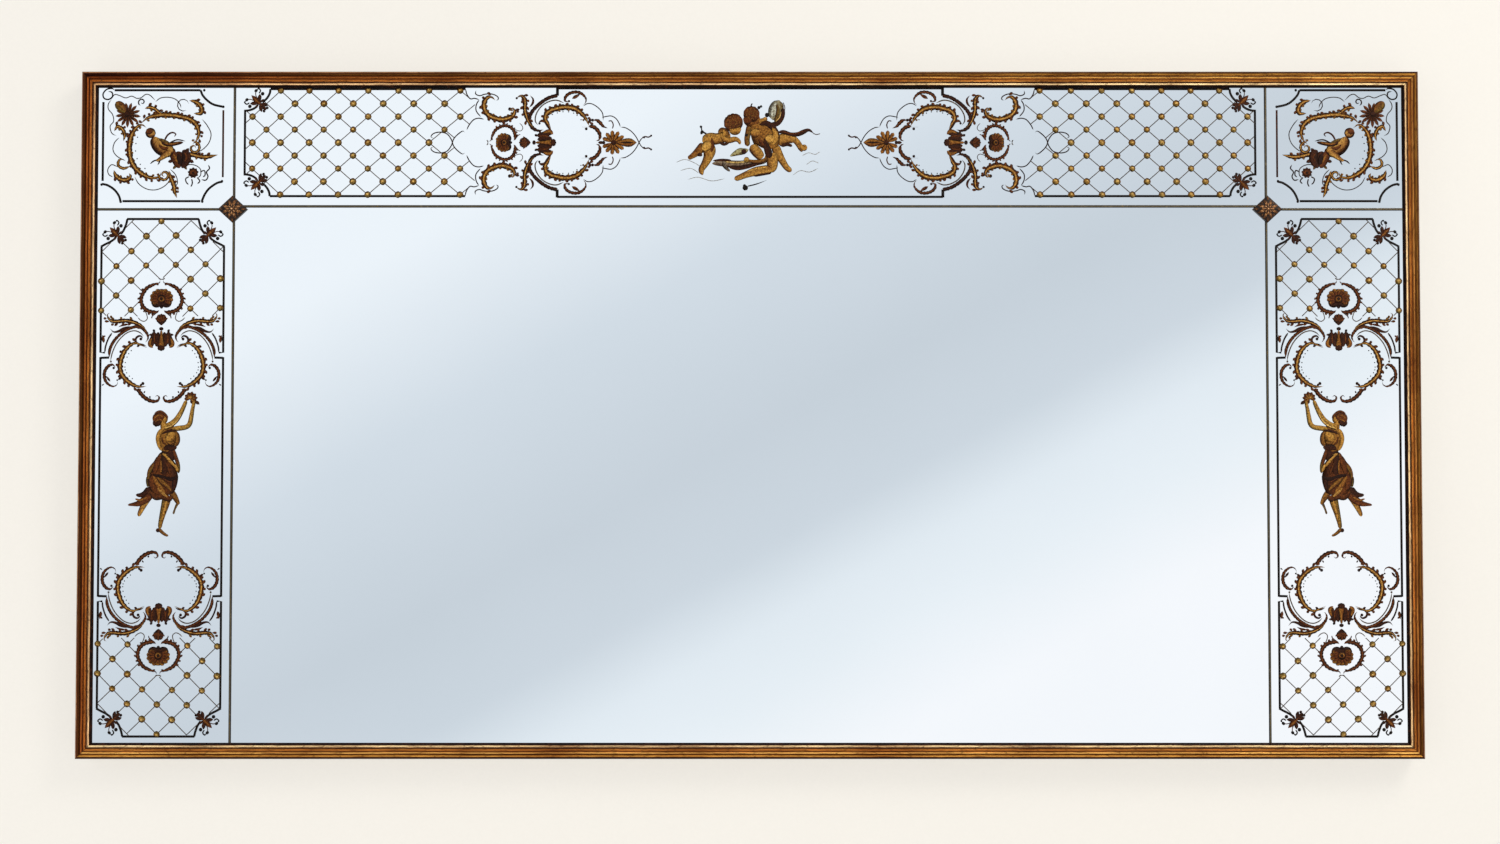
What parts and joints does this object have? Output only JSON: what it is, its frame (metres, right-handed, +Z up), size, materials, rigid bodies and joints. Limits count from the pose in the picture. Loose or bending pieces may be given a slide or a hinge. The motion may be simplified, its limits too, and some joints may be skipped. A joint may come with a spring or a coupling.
{
  "type": "trumeau mirror",
  "caption": "landscape overmantel mirror: mirrored panes with painted and gilt ornament, slim dark beads and a reeded giltwood moulding on a panelled backing with ring hangers",
  "frame": {"origin": "centre of the outline on the wall plane that the back pads touch", "axes": "+X to the right of a person facing the glass, +Z up, +Y towards the wall"},
  "size_m": [1.8, 0.0432, 0.922],
  "materials": {
    "gilt_moulding": "water gilding over red clay ground, rubbed and crackled on the reeds",
    "mirror_glass": "silvered plate glass with painted and gilt ornament",
    "bead_bronze": "dark bronzed brass, lightly rubbed",
    "boss_bronze": "dark bronze with gold rubbed on the high points",
    "pin_brass": "darkened brass",
    "pine_frame": "old bare pine",
    "pine_panel": "old bare pine",
    "hardwood": "oak, bare",
    "block_leather": "undyed",
    "plate_steel": "dull zinc",
    "ring_steel": "zinc-plated wire",
    "fastener_steel": "zinc-plated",
    "pad_rubber": "matt"
  },
  "bodies": {
    "mirror": {"backing_rail_bottom": "pine_frame", "backing_rail_cross": "pine_frame", "backing_rail_top": "pine_frame", "backing_stile_left": "pine_frame", "backing_stile_right": "pine_frame", "bead_centre": "bead_bronze", "bead_lower_left": "bead_bronze", "bead_lower_right": "bead_bronze", "bead_pins": "pin_brass", "bead_side_left": "bead_bronze", "bead_side_right": "bead_bronze", "bead_upper_left": "bead_bronze", "bead_upper_right": "bead_bronze", "boss_left": "boss_bronze", "boss_nuts": "fastener_steel", "boss_right": "boss_bronze", "boss_studs": "fastener_steel", "boss_washers": "fastener_steel", "hanger_screws": "fastener_steel", "hanger_strap_left": "plate_steel", "hanger_strap_right": "plate_steel", "mitre_keys": "hardwood", "moulding_bottom": "gilt_moulding", "moulding_left": "gilt_moulding", "moulding_right": "gilt_moulding", "moulding_top": "gilt_moulding", "muntin_lower_1": "pine_frame", "muntin_lower_2": "pine_frame", "muntin_lower_3": "pine_frame", "muntin_lower_4": "pine_frame", "muntin_upper_1": "pine_frame", "muntin_upper_2": "pine_frame", "muntin_upper_3": "pine_frame", "muntin_upper_4": "pine_frame", "pane_centre": "mirror_glass", "pane_corner_left": "mirror_glass", "pane_corner_right": "mirror_glass", "pane_left": "mirror_glass", "pane_right": "mirror_glass", "pane_top": "mirror_glass", "panel_lower_1": "pine_panel", "panel_lower_2": "pine_panel", "panel_lower_3": "pine_panel", "panel_lower_4": "pine_panel", "panel_lower_5": "pine_panel", "panel_upper_1": "pine_panel", "panel_upper_2": "pine_panel", "panel_upper_3": "pine_panel", "panel_upper_4": "pine_panel", "panel_upper_5": "pine_panel", "setting_blocks": "block_leather", "tenon_pegs": "hardwood", "tie_plate_screws": "fastener_steel", "tie_plates": "plate_steel", "wall_pads": "pad_rubber"},
    "ring_left": {"hanger_ring_left": "ring_steel"},
    "ring_right": {"hanger_ring_right": "ring_steel"}
  },
  "joints": [
    {"name": "ring_left_swing", "type": "hinge", "parent": "mirror", "child": "ring_left", "pos_m": [-0.8557, -0.0042, 0.35], "axis": [1, 0, 0], "range_deg": [0, 180]},
    {"name": "ring_right_swing", "type": "hinge", "parent": "mirror", "child": "ring_right", "pos_m": [0.8557, -0.0042, 0.35], "axis": [1, 0, 0], "range_deg": [0, 180]}
  ]
}
